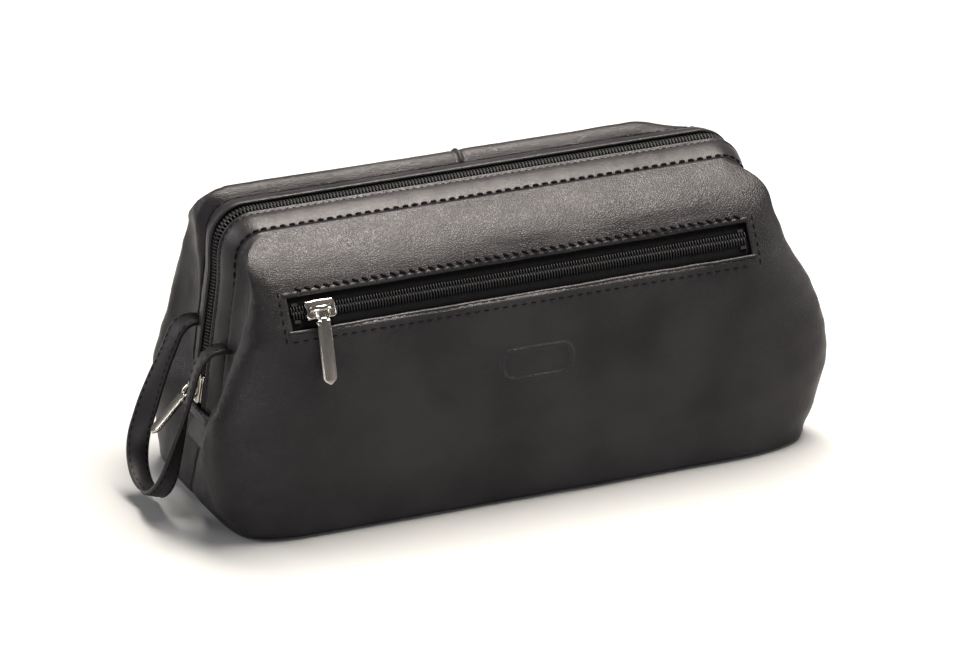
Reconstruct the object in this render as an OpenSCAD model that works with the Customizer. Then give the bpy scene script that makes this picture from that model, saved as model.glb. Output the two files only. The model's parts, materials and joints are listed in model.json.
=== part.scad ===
// Framed shaving kit bag: a soft leather body under two sprung steel frames that
// swing apart at the ends, with a curved main zip, a zipped front pocket and a
// wrist strap. X runs along the bag, the pocket faces -Y, the strap is at -X, and
// the origin is in the middle of the base, on the surface the bag stands on.

/* [Body] */
// Length of the base
base_len = 254; // [250:1:258]
// Greatest length, round the bulge of the walls
bulge_len = 268; // [266:1:270]
// Depth from front to back at the bulge
bag_depth = 107; // [105:1:110]
// Height of the closed bag
bag_h = 121; // [120:0.5:123]
// Thickness of the outer leather
leather_t = 1.4; // [1.2:0.1:1.6]
// Thickness of the woven lining
lining_t = 0.5; // [0.4:0.1:0.6]

/* [Frames] */
// Radius of the rounded top corners
corner_r = 14; // [13:0.5:15]
// Half of the straight run along the top
top_half = 98; // [97:0.5:98.5]
// Outward lean of the frame legs, in degrees
leg_lean = 8; // [7.5:0.5:8]
// Height of the pivot of both frames
hinge_z = 56; // [55:1:57]
// Width of the flat steel of a frame
steel_w = 7; // [6:0.5:7]
// Thickness of the flat steel
steel_t = 1.6; // [1.4:0.1:1.6]

/* [Main zip] */
// Half width of the closed row of teeth
coil_half = 3; // [2.8:0.1:3]
// Distance from the middle to the near edge of a leather band
band_in = 4.6; // [4.6:0.1:4.8]
// Distance from the middle to the seam between band and panel
band_out = 17; // [16.5:0.1:17]

/* [Pocket] */
// Length of the pocket's window
pocket_len = 197; // [180:1:198]
// Height of the window, along the slope
pocket_h = 15; // [14:0.5:15]
// Length of the pocket zip's pull tab
pull_len = 31; // [26:1:32]

/* [Wrist strap] */
// Width of the strap
strap_w = 9.5; // [8:0.5:10]
// Thickness of the strap
strap_t = 2.6; // [2:0.2:2.8]
// Length of the loop from its anchors to its end
strap_reach = 66; // [62:1:66]
// Droop of the loop below level, in degrees
strap_droop = 70; // [68:1:71]

/* [Hidden] */
$fn = 48;

leather = "#26262a";
cloth = "#3a3a3f";
zip_black = "#151517";
steel = "silver";
nickel = "#9a9896";

// Heights where the walls change from one stretch to the next
base_t = 1.6;            // leather of the base
board_top = 3.4;         // top of the stiffening board
lower_top = 48;          // top of the walls that stand on the base
fold_gap = 0.3;          // space above and below the folding stretch
fold_top = 83;           // foot of the stiff upper panels
slope_low = 86;          // foot of the flat slope that holds the pocket
slope_top = 102;         // head of that slope
seam_z = 116;            // seam along the top
bulge_z = 38;            // widest level of the walls
foot_z = 60;             // lower ends of bands and frames
zip_foot_z = hinge_z + 2.2;   // lower ends of the swinging teeth
tape_foot_z = hinge_z + 5;    // and of their tapes
tail_foot_z = 40;        // lower end of the zip tails

panel_edge = band_out + 0.3;
eps = 0.01;

// ---- outline of the walls -------------------------------------------------

// Half length of the outline at height z
function half_len(z) = lookup(z, [
    [0, base_len / 2 - 4], [5, base_len / 2], [bulge_z, bulge_len / 2],
    [60, bulge_len / 2 - 4.5], [fold_top, bulge_len / 2 - 14],
    [slope_top, bulge_len / 2 - 21.5], [109, bulge_len / 2 - 24],
    [seam_z, bulge_len / 2 - 30]]);

// Half depth of the outline at height z
function half_dep(z) = lookup(z, [
    [0, bag_depth / 2 - 6.5], [5, bag_depth / 2 - 2.5], [bulge_z, bag_depth / 2],
    [60, bag_depth / 2 - 0.5], [fold_top, bag_depth / 2 - 2.7],
    [slope_low, bag_depth / 2 - 3.5], [slope_top, bag_depth / 2 - 13.3],
    [seam_z, band_out + 3]]);

// How far the ends are pinched in beside the zip at height z
function pinch(z) = lookup(z, [
    [0, 0], [5, 2], [20, 9], [bulge_z, 16.4], [lower_top, 16.2],
    [fold_top, 5.5], [slope_top, 0.5], [seam_z, 0]]);

// Radius in plan of the vertical corners at height z
function plan_r(z) = lookup(z, [
    [0, 22], [60, 22], [fold_top, 15], [slope_top, 10], [seam_z, 2]]);

// Share of the pinch at the distance y from the middle: whole on the flat middle of an end
flat_half = 14;
function pinch_share(y, y_end) =
    y <= flat_half ? 1 :
    y >= y_end ? 0 :
    (1 + cos(180 * (y - flat_half) / (y_end - flat_half))) / 2;

end_steps = 6;
arc_steps = 7;

// Half of the outline on the -Y side, from one end round the front to the other,
// inset by d, starting and ending at the distance edge from the middle
function half_path(z, d, edge) =
    let(hx = half_len(z) - d, hy = half_dep(z) - d,
        y_c = max(edge + 0.3, half_dep(z) - plan_r(z), flat_half + 0.1),
        r = hy - y_c,
        left = [for (i = [0:end_steps - 1])
            let(y = edge + (y_c - edge) * i / end_steps)
            [-(hx - pinch(z) * pinch_share(y, y_c)), -y]],
        arc = [for (i = [0:arc_steps]) let(a = 180 + 90 * i / arc_steps)
            [-(hx - r) + r * cos(a), -(hy - r) + r * sin(a)]],
        one = concat(left, arc))
    concat(one, [for (i = [len(one) - 1:-1:0]) [-one[i][0], one[i][1]]]);

function reversed(list) = [for (i = [len(list) - 1:-1:0]) list[i]];

// Section of a thin wall at height z, between the insets d0 and d1
function wall_section(z, d0, d1, edge) =
    concat(half_path(z, d0, edge), reversed(half_path(z, d1, edge)));

// Solid through a stack of level sections with the same number of points, each an
// outer path followed by the inner path reversed
module skin(sections, heights) {
    n = len(sections[0]);
    m = len(sections);
    points = [for (k = [0:m - 1]) for (p = sections[k]) [p[0], p[1], heights[k]]];
    sides = [for (k = [0:m - 2]) for (i = [0:n - 1])
        let(a = k * n + i, b = k * n + (i + 1) % n)
        for (f = [[a, a + n, b + n], [a, b + n, b]]) f];
    caps = [for (i = [0:n / 2 - 2]) let(a = i, b = i + 1, c = n - 2 - i, d = n - 1 - i)
        for (f = [[a, b, c], [a, c, d]]) f];
    top = [for (f = caps) [f[2], f[1], f[0]] + (m - 1) * n * [1, 1, 1]];
    polyhedron(points, concat(caps, sides, top), convexity = 8);
}

module wall(heights, d0, d1, edge) {
    skin([for (z = heights) wall_section(z, d0, d1, edge)], heights);
}

// Makes the rear copy of a front piece
module at(side) {
    mirror([0, side == "rear" ? 1 : 0, 0]) children();
}

// ---- body that stands on the base ------------------------------------------

// Whole outline of the base, inset by d
function base_outline(z, d) =
    let(front = half_path(z, d, 0), n = len(front))
    concat([for (i = [1:n - 2]) front[i]], [for (i = [n - 2:-1:1]) [front[i][0], -front[i][1]]]);

module base_panel() color(leather)
    linear_extrude(base_t) polygon(base_outline(0, 0));

module bottom_board() color("#8a7a5c")
    translate([0, 0, base_t]) linear_extrude(board_top - base_t)
        polygon(base_outline(2, 3));

lower_levels = [base_t, 5, 12, 20, 29, bulge_z, lower_top];
module lower_panel(side) color(leather)
    at(side) wall(lower_levels, 0, leather_t, 0);

lining_in = leather_t + 1.2;
module lining_tub() color(cloth) {
    for (side = ["front", "rear"])
        at(side) wall([board_top, 5, 12, 20, 29, bulge_z, lower_top - 0.5],
            lining_in, lining_in + lining_t, 0);
    translate([0, 0, board_top]) linear_extrude(lining_t)
        polygon(base_outline(board_top, lining_in + 0.1));
}

// Stretch that folds as a frame swings out
module fold_panel(side) color("#303036")
    at(side) wall([lower_top + fold_gap, 60, 72, fold_top - fold_gap],
        0, leather_t, panel_edge);

// ---- arch of frames, bands and main zip -------------------------------------

arch_cz = bag_h - corner_r;

// Outline of the arch from the right foot to the left, n inside its outer face
function arch(n, foot) =
    let(r = corner_r - n,
        foot_x = top_half + r * cos(leg_lean)
            + tan(leg_lean) * (arch_cz + r * sin(leg_lean) - foot),
        right = concat([[foot_x, foot]], [for (i = [0:8])
            let(a = leg_lean + (90 - leg_lean) * i / 8)
            [top_half + r * cos(a), arch_cz + r * sin(a)]]))
    concat(right, [for (i = [len(right) - 1:-1:0]) [-right[i][0], right[i][1]]]);

// X of the right leg at height z, n inside its outer face
function leg_x(n, z) = arch(n, z)[0][0];

// Bent strip between the depths n0 and n1, from y0 to y1 in front of the middle
module arch_strip(n0, n1, y0, y1, foot) {
    translate([0, -y0, 0]) rotate([90, 0, 0]) linear_extrude(y1 - y0)
        polygon(concat(arch(n0, foot), reversed(arch(n1, foot))));
}

// Depths of the layers inside the outer face of the arch
band_n = [1.0, 2.4];
coil_n = [0.4, 2.4];
tape_n = [2.4, 3.0];
steel_n = [3.0, 3.0 + steel_t];
facing_n = [3.0 + steel_t, 3.6 + steel_t];
steel_y = 5;
coil_gap = 0.15;

module zip_band(side) color(leather)
    at(side) arch_strip(band_n[0], band_n[1], band_in, band_out, foot_z);

module zip_coil(side) color(zip_black)
    at(side) arch_strip(coil_n[0], coil_n[1], coil_gap, coil_half, zip_foot_z);

module zip_tape(side) color("#1d1d20")
    at(side) arch_strip(tape_n[0], tape_n[1], coil_gap, 8, tape_foot_z);

module frame_facing(side) color(cloth)
    at(side) arch_strip(facing_n[0], facing_n[1], steel_y, band_out, lug_top_z + 1);

// Steel frame with a lug at each foot, bored for the rivet
rivet_r = 1.5;
running_gap = 0.05;
lug_r = 4.2;
lug_t = 1.2;
lug_gap = 0.2;
lug_x = leg_x(steel_n[0], foot_z) - 1.2;    // outer face of the outer lug
lug_top_z = foot_z + 6;
function lug_face(side) = side == "front" ? lug_x : lug_x - lug_t - lug_gap;

module lug(side) {
    translate([lug_face(side) - lug_t, 0, hinge_z]) rotate([0, 90, 0])
        cylinder(r = lug_r, h = lug_t);
    // web from the disc up to the leg
    translate([lug_face(side) - lug_t, 0, 0]) rotate([90, 0, 90]) linear_extrude(lug_t)
        polygon([[-steel_y - steel_w, lug_top_z], [-steel_y - steel_w, foot_z + 1],
            [-lug_r * 0.7, hinge_z - lug_r * 0.7], [0, hinge_z + lug_r], [-steel_y, lug_top_z]]);
    // block that joins the web to the steel of the leg
    translate([lug_face(side) - lug_t, -steel_y - steel_w, foot_z + 1])
        cube([leg_x(3.8, foot_z + 3) - lug_face(side) + lug_t, steel_w, lug_top_z - foot_z - 1]);
}

module frame(side) color(steel)
    at(side) difference() {
        union() {
            arch_strip(steel_n[0], steel_n[1], steel_y, steel_y + steel_w, foot_z + 1);
            lug(side);
            mirror([1, 0, 0]) lug(side);
        }
        translate([-130, 0, hinge_z]) rotate([0, 90, 0])
            cylinder(r = rivet_r + running_gap, h = 260);
    }

// Rivet through both lugs at the right end
module rivet() {
    head_r = 2.6;
    head_t = 0.8;
    shank_out = lug_x + 0.2;
    shank_in = lug_face("rear") - lug_t - 0.2;
    translate([shank_in, 0, hinge_z]) rotate([0, 90, 0])
        cylinder(r = rivet_r, h = shank_out - shank_in);
    for (x = [shank_in - head_t, shank_out])
        translate([x, 0, hinge_z]) rotate([0, 90, 0]) cylinder(r = head_r, h = head_t);
}
module hinge_rivet_right() color(steel) rivet();
module hinge_rivet_left() color(steel) mirror([1, 0, 0]) rivet();

// Closed end of the main zip below the pivot, with its stop
tail_half = 8;
module zip_tail() {
    top = hinge_z - 0.3;
    module layer(n, half) {
        rotate([90, 0, 0]) linear_extrude(2 * half, center = true)
            polygon([[leg_x(n[0], top), top], [leg_x(n[0], tail_foot_z), tail_foot_z],
                [leg_x(n[1], tail_foot_z), tail_foot_z], [leg_x(n[1], top), top]]);
    }
    layer(coil_n, coil_half);
    layer([tape_n[0], tape_n[1]], tail_half);
}
module zip_tail_right() color(zip_black) zip_tail();
module zip_tail_left() color(zip_black) mirror([1, 0, 0]) zip_tail();

// ---- upper panels ------------------------------------------------------------

upper_levels = [fold_top, slope_low, slope_top, 109, seam_z];

// Frame of the sloping face that holds the pocket: x along, -y out, z up the slope
slope_run = half_dep(slope_low) - half_dep(slope_top);
slope_angle = atan(slope_run / (slope_top - slope_low));
pocket_z = (slope_low + slope_top) / 2;
pocket_y = (half_dep(slope_low) + half_dep(slope_top)) / 2;
module on_slope() {
    translate([0, -pocket_y, pocket_z]) rotate([-slope_angle, 0, 0]) children();
}

module front_upper_panel() color(leather) difference() {
    wall(upper_levels, 0, leather_t, panel_edge);
    on_slope() cube([pocket_len, 12, pocket_h], center = true);
}
module rear_upper_panel() color(leather)
    at("rear") wall(upper_levels, 0, leather_t, panel_edge);

lining_up_in = 5.2;
module upper_lining(side) color(cloth)
    at(side) wall([fold_top, slope_low, slope_top - 2, 106],
        lining_up_in, lining_up_in + lining_t, panel_edge + 1);

// ---- front pocket --------------------------------------------------------------

pocket_tape_y = [1.4, 1.9];     // depths behind the leather's face
pocket_coil_y = [-0.3, 1.4];
pocket_coil_half = 2.7;
tape_reach = 0.9;               // how far the tapes run on behind the leather
module slope_box(x, y, z) {
    on_slope() translate([x[0], y[0], z[0]]) cube([x[1] - x[0], y[1] - y[0], z[1] - z[0]]);
}
tape_x = pocket_len / 2 + 1;
module pocket_tape_upper() color("#1d1d20")
    slope_box([-tape_x, tape_x], pocket_tape_y, [0.1, pocket_h / 2 + tape_reach]);
module pocket_tape_lower() color("#1d1d20")
    slope_box([-tape_x, tape_x], pocket_tape_y, [-pocket_h / 2 - tape_reach, -0.1]);
module pocket_coil() color(zip_black)
    slope_box([-pocket_len / 2 + 1, pocket_len / 2 - 1], pocket_coil_y,
        [-pocket_coil_half, pocket_coil_half]);

// Wire stops beside both ends of the teeth
module pocket_stops() color(nickel)
    for (s = [-1, 1]) for (v = [-1, 1])
        on_slope() translate([s * (pocket_len / 2 - 3), 0.9, v * (pocket_coil_half + 0.7)])
            cube([2.4, 1, 1.2], center = true);

// Flat cloth pouch that hangs behind the zip
pouch_half = 96;
pouch_t = 1.4;
// Levels of the pouch, and how far it lies inside the leather's face there
pouch_line = [[57, 8], [75, 7], [fold_top, 2.9], [slope_low, 2.9], [slope_top, 2.9]];
function pouch_y(p, d) = -(half_dep(p[0]) - p[1] - d);
module pocket_pouch() color(cloth)
    translate([-pouch_half, 0, 0]) rotate([90, 0, 90]) linear_extrude(2 * pouch_half)
        polygon(concat([for (p = pouch_line) [pouch_y(p, 0), p[0]]],
            [for (p = reversed(pouch_line)) [pouch_y(p, pouch_t), p[0]]]));

// ---- sliders and pulls -----------------------------------------------------------

// Slider that rides over a row of teeth: x along the zip, -y out, z across it
slider_len = 13;
slider_gap = 0.3;
plate_t = 1.2;
flange_t = 0.9;
crown_r = 2.2;
crown_eye_r = 1.15;
module slider(teeth_half, teeth_top, teeth_low) {
    in_half = teeth_half + slider_gap;
    out_half = in_half + flange_t;
    plate_y = teeth_top - slider_gap;
    translate([-slider_len / 2, plate_y - plate_t, -out_half])
        cube([slider_len, plate_t, 2 * out_half]);
    for (v = [-1, 1])
        translate([-slider_len / 2, plate_y - eps, v * (in_half + flange_t / 2) - flange_t / 2])
            cube([slider_len, teeth_low - plate_y - slider_gap, flange_t]);
}

// Bored eye that stands on a slider's plate and carries the pull
module crown(plate_out, axis_along) {
    turn = axis_along ? [0, 90, 0] : [0, 0, 0];
    eye_w = 2.6;
    difference() {
        union() {
            translate([0, plate_out - crown_r, 0]) rotate(turn)
                cylinder(r = crown_r, h = eye_w, center = true);
            translate([0, plate_out - crown_r / 2, 0])
                cube(axis_along ? [eye_w, crown_r, 2 * crown_r] : [2 * crown_r, crown_r, eye_w],
                    center = true);
        }
        translate([0, plate_out - crown_r, 0]) rotate(turn)
            cylinder(r = crown_eye_r, h = 10, center = true);
    }
}

pocket_slider_x = -86;
pocket_plate_out = pocket_coil_y[0] - slider_gap - plate_t;
module pocket_slider_body() color(nickel)
    on_slope() translate([pocket_slider_x, 0, 0]) {
        slider(pocket_coil_half, pocket_coil_y[0], pocket_coil_y[1]);
        crown(pocket_plate_out, true);
    }

// Pull tab hanging down -z from its pin, which lies along x through the origin
pull_w = 6;
pull_t = 1.8;
pin_r = 1.1;
module pull(length) {
    fork_in = 1.6;
    rotate([0, 90, 0]) cylinder(r = pin_r, h = pull_w, center = true);
    for (s = [-1, 1]) hull() {
        translate([s * (pull_w / 2 - 0.7), 0, 0]) rotate([0, 90, 0])
            cylinder(r = 1.5, h = 2 * (pull_w / 2 - fork_in - 0.7), center = true, $fn = 32);
        translate([s * (pull_w / 2 - 0.7), 0, -4]) cube([1.4, pull_t, 1], center = true);
    }
    translate([-pull_w / 2, pull_t / 2, 0]) rotate([90, 0, 0]) linear_extrude(pull_t)
        polygon([[0, -3.6], [pull_w, -3.6], [pull_w, 1.5 - length], [pull_w - 1.5, -length],
            [1.5, -length], [0, 1.5 - length]]);
}

pull_rest_lean = 17;
crown_out = pocket_plate_out - crown_r;
pocket_pin = [pocket_slider_x,
    -pocket_y + crown_out * cos(slope_angle),
    pocket_z - crown_out * sin(slope_angle)];
module pocket_pull_tab() color(nickel)
    translate(pocket_pin) rotate([-pull_rest_lean, 0, 0]) pull(pull_len);

// Frame of the left leg: x up the leg, -y out, z across the zip
main_slider_z = 48;
main_pull_len = 24;
main_pull_lean = 44;
module on_left_leg() {
    translate([-leg_x(0, main_slider_z), 0, main_slider_z])
        rotate([0, leg_lean, 0]) rotate([0, 0, -90]) rotate([0, -90, 0]) children();
}
main_plate_out = coil_n[0] - slider_gap - plate_t;
module main_slider_body() color(nickel)
    on_left_leg() {
        slider(coil_half, coil_n[0], coil_n[1] - 0.1);
        crown(main_plate_out, false);
    }

main_out = main_plate_out - crown_r;
main_pin = [-leg_x(0, main_slider_z) + main_out * cos(leg_lean), 0,
    main_slider_z - main_out * sin(leg_lean)];
module main_pull_tab() color(nickel)
    translate(main_pin) rotate([0, main_pull_lean, 0]) rotate([0, 0, -90]) pull(main_pull_len);

// ---- wrist strap -------------------------------------------------------------------

anchor_half = 14;
loop_half = 20;
anchor_z = 67;
anchor_x = -(leg_x(0, anchor_z) + 1.8);
leg_run = strap_reach - loop_half;
strap_root = 9;          // where the free strap leaves its sewn ends

// Outline of the loop inset by d: x runs from the anchors to the end of the loop
function strap_path(d) =
    let(leg = [for (i = [0:7])
            let(u = strap_root + (leg_run - strap_root) * i / 8)
            [u, anchor_half + (loop_half - anchor_half) * sin(90 * u / leg_run) - d]],
        bend = [for (i = [0:14]) let(a = 90 - 180 * i / 14)
            [leg_run + (loop_half - d) * cos(a), (loop_half - d) * sin(a)]])
    concat(leg, bend, [for (p = reversed(leg)) [p[0], -p[1]]]);

module wrist_strap() color(leather)
    translate([anchor_x, 0, anchor_z]) rotate([0, 180 - strap_droop, 0])
        linear_extrude(strap_w, center = true)
            polygon(concat(strap_path(0), reversed(strap_path(strap_t))));

// ---- nodes ---------------------------------------------------------------------------

base_panel();
bottom_board();
lining_tub();
lower_panel("front");  // front_lower_panel
lower_panel("rear");  // rear_lower_panel
fold_panel("front");  // front_fold_panel
fold_panel("rear");  // rear_fold_panel
zip_tail_left();
zip_tail_right();
hinge_rivet_left();
hinge_rivet_right();
frame("front");  // front_frame
frame("rear");  // rear_frame
zip_band("front");  // front_zip_band
zip_band("rear");  // rear_zip_band
zip_tape("front");  // front_zip_tape
zip_tape("rear");  // rear_zip_tape
zip_coil("front");  // front_zip_coil
zip_coil("rear");  // rear_zip_coil
frame_facing("front");  // front_frame_facing
frame_facing("rear");  // rear_frame_facing
front_upper_panel();
rear_upper_panel();
upper_lining("front");  // front_upper_lining
upper_lining("rear");  // rear_upper_lining
pocket_pouch();
pocket_tape_upper();
pocket_tape_lower();
pocket_coil();
pocket_stops();
pocket_slider_body();
pocket_pull_tab();
main_slider_body();
main_pull_tab();
wrist_strap();
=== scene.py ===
import json
import math

import bmesh
import bpy
import numpy as np
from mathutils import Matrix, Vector, noise


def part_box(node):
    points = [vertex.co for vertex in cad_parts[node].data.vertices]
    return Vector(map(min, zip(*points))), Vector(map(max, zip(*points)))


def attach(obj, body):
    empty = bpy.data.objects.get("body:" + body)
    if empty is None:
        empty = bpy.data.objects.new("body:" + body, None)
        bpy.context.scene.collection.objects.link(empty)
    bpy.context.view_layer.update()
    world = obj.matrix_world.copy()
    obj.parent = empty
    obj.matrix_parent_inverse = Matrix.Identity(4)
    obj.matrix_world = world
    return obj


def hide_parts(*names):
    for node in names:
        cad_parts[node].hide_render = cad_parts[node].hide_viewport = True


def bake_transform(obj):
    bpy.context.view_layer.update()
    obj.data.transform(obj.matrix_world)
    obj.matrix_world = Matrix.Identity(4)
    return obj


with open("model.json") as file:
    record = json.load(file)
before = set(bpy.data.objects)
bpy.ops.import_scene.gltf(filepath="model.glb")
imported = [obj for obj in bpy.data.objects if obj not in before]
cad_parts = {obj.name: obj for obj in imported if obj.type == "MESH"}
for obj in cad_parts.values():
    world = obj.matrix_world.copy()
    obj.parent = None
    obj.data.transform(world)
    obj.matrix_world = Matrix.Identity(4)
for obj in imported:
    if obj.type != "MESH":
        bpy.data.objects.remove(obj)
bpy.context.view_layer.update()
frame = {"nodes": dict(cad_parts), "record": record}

MM = 0.001

# ---- places taken from the frame, in millimetres ----


def box_mm(node):
    low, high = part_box(node)
    return np.array(low) / MM, np.array(high) / MM


def pin_mm(name):
    joints = frame["record"]["behaviour"]["joints"]
    return np.array(next(j["pos_m"] for j in joints if j["name"] == name)) / MM


BAND_LOW, BAND_HIGH = box_mm("front_zip_band")
BAG_H = BAND_HIGH[2] + 1.0  # crown of the arch that the frames follow
SEAM_Y = -BAND_LOW[1] - 0.3  # where a leather panel meets its band
SEAM_N = 3.0  # how far the seam lies inside the arch
CORNER_R = 14.0  # round corners of the arch
LEG_LEAN = math.radians(8)  # the arch's legs lean outward by this much
ARCH_Z = BAG_H - CORNER_R
TOP_HALF = 98.0  # half of the arch's straight top
SEAM_TOP = 118.0  # height of the seam where it runs along the top
EDGE_Z = 5.0  # where the panels turn in under the bag
FLOOR_GAP = 0.05  # nothing goes lower than this
FOLD = ((0, 0, 0.043), (0, 0, 0.074))  # metres: two heights, the default at of bends for the leather
HINGE = ((0, 0, 0.050), (0, 0, 0.064))  # metres: the same for the stiff zip and bands


def curve(*points):
    """Smooth function through a few points (z, value), level beyond the last ones."""
    xs = np.array([p[0] for p in points], float)
    ys = np.array([p[1] for p in points], float)
    slopes = np.gradient(ys, xs)

    def at(x):
        x = np.clip(x, xs[0], xs[-1])
        i = np.clip(np.searchsorted(xs, x) - 1, 0, len(xs) - 2)
        h = xs[i + 1] - xs[i]
        t = (x - xs[i]) / h
        return ((2 * t**3 - 3 * t**2 + 1) * ys[i] + (t**3 - 2 * t**2 + t) * h * slopes[i]
                + (3 * t**2 - 2 * t**3) * ys[i + 1] + (t**3 - t**2) * h * slopes[i + 1])

    return at


def smooth(a, b, x):
    t = np.clip((x - a) / (b - a), 0, 1)
    return t * t * (3 - 2 * t)


# ---- mesh helpers ----


def linked(name, data):
    o = bpy.data.objects.new(name, data)
    bpy.context.scene.collection.objects.link(o)
    return o


def mesh_of(name, verts, faces, materials, shade=True):
    """Mesh from points in metres."""
    mesh = bpy.data.meshes.new(name)
    mesh.from_pydata(verts, [], faces)
    mesh.update()
    mesh.polygons.foreach_set("use_smooth", [shade] * len(mesh.polygons))
    for m in materials:
        mesh.materials.append(m)
    return mesh


def new_object(name, verts, faces, material, shade=True):
    """Object from points in millimetres."""
    verts = [tuple(MM * float(c) for c in v) for v in verts]
    o = linked(name, mesh_of(name, verts, faces, [material], shade))
    o.data.validate()
    return o


def grid_faces(rows, cols, wrap=False, skip=None):
    """Quads of a grid of points, but those to skip; wrap joins the last column to the first."""
    faces = []
    for r in range(rows - 1):
        for c in range(cols if wrap else cols - 1):
            if skip is not None and skip(r, c):
                continue
            d = (c + 1) % cols
            faces.append((r * cols + c, r * cols + d, (r + 1) * cols + d, (r + 1) * cols + c))
    return faces


def caps(rows, cols):
    """The two end faces of a tube made by grid_faces, one facing each way."""
    return [tuple(range(cols)), tuple(range((rows - 1) * cols, rows * cols))[::-1]]


def unit(a):
    """Vectors of length 1 along the last axis."""
    return a / np.maximum(np.linalg.norm(a, axis=-1, keepdims=True), 1e-9)


def tube(name, rings, material, sides=1, ends=1):
    """Closed tube through rings of points; -1 turns its side or end faces round."""
    rows, cols = np.shape(rings)[:2]
    faces = [f[::sides] for f in grid_faces(rows, cols, wrap=True)]
    faces += [f[::ends] for f in caps(rows, cols)]
    return new_object(name, np.reshape(rings, (-1, 3)), faces, material)


def run_along(p):
    """Distance along these points from the first to each."""
    return np.concatenate([[0], np.cumsum(np.linalg.norm(np.diff(p, axis=0), axis=1))])


def modified(o, kind, **settings):
    """The object with one modifier applied."""
    m = o.modifiers.new(kind.lower(), kind)
    for key, value in settings.items():
        setattr(m, key, value)
    bpy.context.view_layer.update()
    deps = bpy.context.evaluated_depsgraph_get()
    mesh = bpy.data.meshes.new_from_object(o.evaluated_get(deps))
    o.modifiers.clear()
    o.data = mesh
    return o


def joined(name, objects):
    """One object from several, which are removed."""
    verts, faces, slots, mats = [], [], [], []
    for o in objects:
        start = len(verts)
        verts += [tuple(o.matrix_world @ v.co) for v in o.data.vertices]
        for m in o.data.materials:
            if m not in mats:
                mats.append(m)
        for p in o.data.polygons:
            faces.append(tuple(start + i for i in p.vertices))
            slots.append(mats.index(o.data.materials[p.material_index]))
        bpy.data.objects.remove(o)
    one = linked(name, mesh_of(name, verts, faces, mats))
    one.data.polygons.foreach_set("material_index", slots)
    return one


# ---- materials ----


class Nodes:
    """Short way to build a node material."""

    def __init__(self, name):
        self.m = bpy.data.materials.new(name)
        self.m.use_nodes = True
        self.tree = self.m.node_tree
        self.bsdf = self.tree.nodes["Principled BSDF"]
        self.coords = self.add("ShaderNodeTexCoord").outputs["Object"]

    def fill(self, node, inputs):
        for key, value in inputs.items():
            socket = node.inputs[key.replace("_", " ")]
            if isinstance(value, bpy.types.NodeSocket):
                self.tree.links.new(value, socket)
            else:
                socket.default_value = value
        return node

    def add(self, kind, settings=(), **inputs):
        node = self.tree.nodes.new(kind)
        for key, value in dict(settings).items():
            setattr(node, key, value)
        return self.fill(node, inputs)

    def set(self, **inputs):
        self.fill(self.bsdf, inputs)

    def combine(self, operation, a, b):
        node = self.add("ShaderNodeMath", dict(operation=operation))
        self.tree.links.new(a, node.inputs[0])
        self.tree.links.new(b, node.inputs[1])
        return node.outputs[0]

    def noise(self, size_mm, detail=3.0, stretch=(1, 1, 1)):
        at = self.add("ShaderNodeMapping", Vector=self.coords, Scale=stretch).outputs[0]
        return self.add("ShaderNodeTexNoise", Vector=at, Scale=1 / (size_mm * MM),
                        Detail=detail).outputs["Fac"]

    def cells(self, size_mm, stretch, warp=0.35):
        """Distance to the edges of wobbly cells, for leather pores."""
        wobble = self.add("ShaderNodeTexNoise", Vector=self.coords, Scale=0.5 / (size_mm * MM),
                          Detail=2.0).outputs["Color"]
        moved = self.add("ShaderNodeMix", dict(data_type="RGBA", blend_type="LINEAR_LIGHT"),
                         Factor=warp * size_mm * MM, A=self.coords, B=wobble)
        at = self.add("ShaderNodeMapping", Vector=moved.outputs["Result"], Scale=stretch)
        edges = self.add("ShaderNodeTexVoronoi", dict(feature="DISTANCE_TO_EDGE"),
                         Vector=at.outputs[0], Scale=1 / (size_mm * MM))
        return edges.outputs["Distance"]

    def spread(self, value, low, high, start=0.0, end=1.0):
        return self.add("ShaderNodeMapRange", Value=value, From_Min=start, From_Max=end,
                        To_Min=low, To_Max=high).outputs[0]

    def patchy(self, noise_value, low, high):
        """Noise stretched so that it reaches low and high in patches."""
        return self.spread(noise_value, low, high, 0.3, 0.7)

    def tint(self, value, dark, light):
        mix = self.add("ShaderNodeMix", dict(data_type="RGBA"), Factor=value)
        mix.inputs["A"].default_value = (*dark, 1)
        mix.inputs["B"].default_value = (*light, 1)
        return mix.outputs["Result"]

    def bump(self, height, depth_mm, strength=1.0, under=None):
        n = self.add("ShaderNodeBump", Height=height, Distance=depth_mm * MM, Strength=strength)
        if under is not None:
            self.tree.links.new(under, n.inputs["Normal"])
        return n.outputs["Normal"]


def leather(name, rough=(0.32, 0.43), grain_mm=0.9, grain=0.11):
    """Near-black leather: pores of grain_mm, grain deep, over soft creases and shade changes."""
    k = Nodes(name)
    pores = k.spread(k.cells(grain_mm, (1.0, 1.0, 1.25)), 0, 1, 0.0, 0.28)
    creases = k.noise(2.6, 4.0, (0.55, 1, 1.5))
    fine = k.noise(0.25, 2.0)
    shade = k.spread(k.noise(38, 2.0), 0, 1, 0.35, 0.65)
    normal = k.bump(creases, 0.30, 0.22)
    normal = k.bump(pores, grain, 0.6, normal)
    normal = k.bump(fine, 0.02, 0.5, normal)
    k.set(Base_Color=k.tint(shade, (0.0085, 0.0077, 0.0086), (0.0185, 0.0168, 0.0184)),
          Roughness=k.patchy(k.noise(9, 4.0), *rough),
          Normal=normal, Specular_IOR_Level=0.17, Specular_Tint=(1, 0.97, 0.97, 1))
    return k.m


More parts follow.
